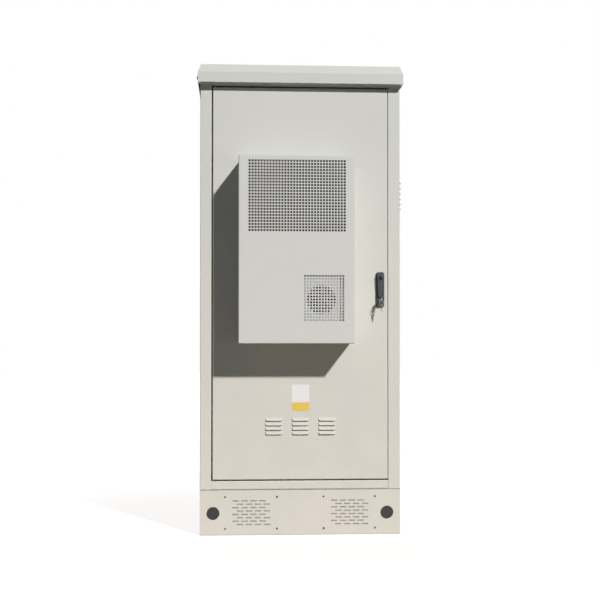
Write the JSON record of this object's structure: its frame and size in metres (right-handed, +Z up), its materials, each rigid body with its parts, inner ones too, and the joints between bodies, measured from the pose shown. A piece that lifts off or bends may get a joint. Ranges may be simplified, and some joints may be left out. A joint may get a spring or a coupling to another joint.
{
  "type": "roadside utility cabinet",
  "caption": "Grey sheet-steel outdoor equipment cabinet on a vented plinth, with an overhanging roof, a swing-handle door and a perforated door-mounted cooling unit.",
  "frame": {"origin": "centre of the plinth's anchor holes, on the ground", "axes": "+Z up, the door faces -Y, +X to the right of someone facing the door"},
  "size_m": [0.83, 1.01, 1.8715],
  "materials": {
    "grey_powder_coat": "satin",
    "cooler_powder_coat": "satin",
    "zinc_plated_steel": "satin",
    "dark_screws": "satin",
    "black_rubber": "matte",
    "black_plastic": "satin",
    "die_cast_zinc": "satin",
    "nickel_plate": "gloss",
    "coil_fins": "satin",
    "black_enamel": "gloss",
    "brass": "satin",
    "filter_mesh": "matte"
  },
  "bodies": {
    "cabinet": {"plinth_front": "grey_powder_coat", "plinth_rear": "grey_powder_coat", "plinth_left": "grey_powder_coat", "plinth_right": "grey_powder_coat", "base_plate": "grey_powder_coat", "gland_plate": "grey_powder_coat", "front_post_left": "grey_powder_coat", "front_post_right": "grey_powder_coat", "rear_post_left": "grey_powder_coat", "rear_post_right": "grey_powder_coat", "front_top_rail": "grey_powder_coat", "front_bottom_rail": "grey_powder_coat", "side_panel_left": "grey_powder_coat", "side_panel_right": "grey_powder_coat", "rear_panel": "grey_powder_coat", "ceiling_panel": "grey_powder_coat", "roof_cover": "grey_powder_coat", "roof_eave_vent": "grey_powder_coat", "seal_lands": "grey_powder_coat", "rack_rail_front_left": "zinc_plated_steel", "rack_rail_front_right": "zinc_plated_steel", "rack_rail_rear_left": "zinc_plated_steel", "rack_rail_rear_right": "zinc_plated_steel", "hinge_pins": "zinc_plated_steel", "roof_spacers": "zinc_plated_steel", "plinth_filter_screws": "dark_screws", "roof_bolts": "dark_screws", "cable_grommets": "black_rubber", "plinth_plugs": "black_plastic", "earth_bar": "brass", "plinth_filter_left": "filter_mesh", "plinth_filter_right": "filter_mesh"},
    "door": {"door_panel": "grey_powder_coat", "door_seal": "black_rubber", "hinge_bushes": "black_plastic", "rod_guides": "black_plastic", "handle_base": "black_plastic", "lock_barrel": "die_cast_zinc", "cooler_casing": "cooler_powder_coat", "cooler_front_panel": "cooler_powder_coat", "cooler_back_plate": "zinc_plated_steel", "cooler_partition": "zinc_plated_steel", "condenser_coil": "coil_fins", "evaporator_coil": "coil_fins", "compressor": "black_enamel", "outer_fan_plate": "zinc_plated_steel", "outer_fan_frame": "black_plastic", "inner_fan_frame": "black_plastic", "inner_grilles": "zinc_plated_steel"},
    "handle": {"handle_spindle": "die_cast_zinc", "lock_cam": "zinc_plated_steel"},
    "lever": {"handle_lever": "black_plastic"},
    "upper_rod": {"upper_lock_rod": "zinc_plated_steel"},
    "lower_rod": {"lower_lock_rod": "zinc_plated_steel"},
    "lock_cylinder": {"lock_core": "die_cast_zinc", "key": "nickel_plate"},
    "hanging_keys": {"key_ring": "nickel_plate", "spare_key": "nickel_plate"},
    "outer_fan": {"outer_fan_rotor": "black_plastic"},
    "inner_fan": {"inner_fan_rotor": "black_plastic"}
  },
  "joints": [
    {"name": "door_swing", "type": "hinge", "parent": "cabinet", "child": "door", "pos_m": [-0.34, -0.39, 0.22], "axis": [0, 0, -1], "range_deg": [0, 110]},
    {"name": "handle_turn", "type": "hinge", "parent": "door", "child": "handle", "pos_m": [0.3195, -0.4, 1.033], "axis": [0, -1, 0], "range_deg": [0, 90]},
    {"name": "handle_lift", "type": "hinge", "parent": "handle", "child": "lever", "pos_m": [0.3195, -0.4151, 1.033], "axis": [-1, 0, 0], "range_deg": [0, 35]},
    {"name": "upper_rod_slide", "type": "slide", "parent": "door", "child": "upper_rod", "axis": [0, 0, -1], "range_m": [0, 0.02546]},
    {"name": "lower_rod_slide", "type": "slide", "parent": "door", "child": "lower_rod", "axis": [0, 0, 1], "range_m": [0, 0.02546]},
    {"name": "key_turn", "type": "hinge", "parent": "door", "child": "lock_cylinder", "pos_m": [0.3195, -0.412, 0.934], "axis": [0, -1, 0], "range_deg": [0, 90]},
    {"name": "key_ring_swing", "type": "hinge", "parent": "lock_cylinder", "child": "hanging_keys", "pos_m": [0.3195, -0.458, 0.9323], "axis": [1, 0, 0], "range_deg": [-60, 12]},
    {"name": "outer_fan_spin", "type": "hinge", "parent": "door", "child": "outer_fan", "pos_m": [0.0715, -0.565, 0.931], "axis": [0, -1, 0], "continuous": true},
    {"name": "inner_fan_spin", "type": "hinge", "parent": "door", "child": "inner_fan", "pos_m": [-0.024, -0.42, 1.332], "axis": [0, -1, 0], "continuous": true}
  ],
  "couplings": [
    {"joint": "handle_turn", "follows": "upper_rod_slide", "rad_per_m": 61.69},
    {"joint": "lower_rod_slide", "follows": "upper_rod_slide", "ratio": 1}
  ]
}
